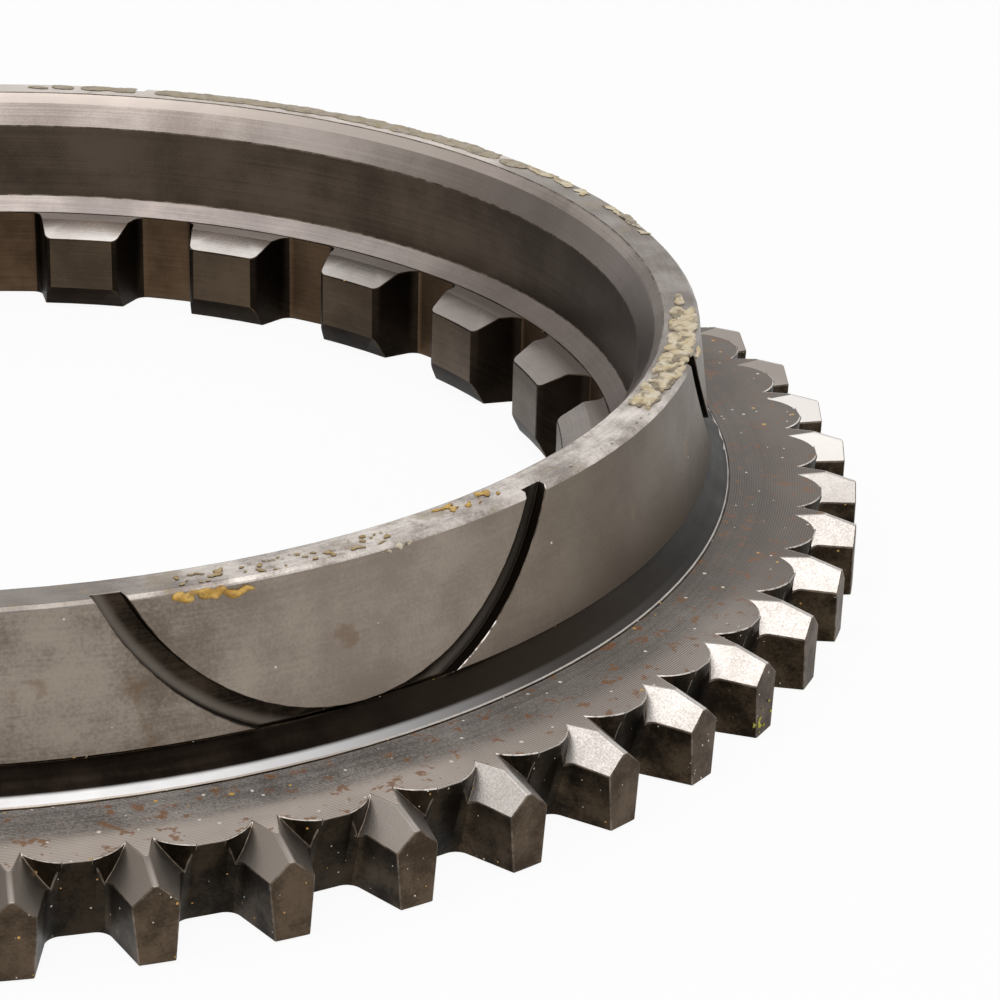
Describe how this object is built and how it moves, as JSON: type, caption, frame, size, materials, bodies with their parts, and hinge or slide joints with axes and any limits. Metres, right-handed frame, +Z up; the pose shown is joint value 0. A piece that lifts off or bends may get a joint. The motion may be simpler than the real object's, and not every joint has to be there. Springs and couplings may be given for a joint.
{
  "type": "synchronizer hub",
  "caption": "Steel ring with pointed dog teeth round a flange, a tapered friction collar with arched oil grooves, and a splined bore.",
  "frame": {"origin": "on the axis of the bore, in the plane of the flange's flat bottom face", "axes": "+Z up along the axis, from the toothed flange to the rim of the cone; +X through the middle of one dog tooth"},
  "size_m": [0.16, 0.16, 0.0208],
  "materials": {
    "hub_steel": "turned and milled steel, worn, with light rust stains and dried residue"
  },
  "bodies": {
    "root": {"synchronizer_hub": "hub_steel"}
  },
  "joints": []
}
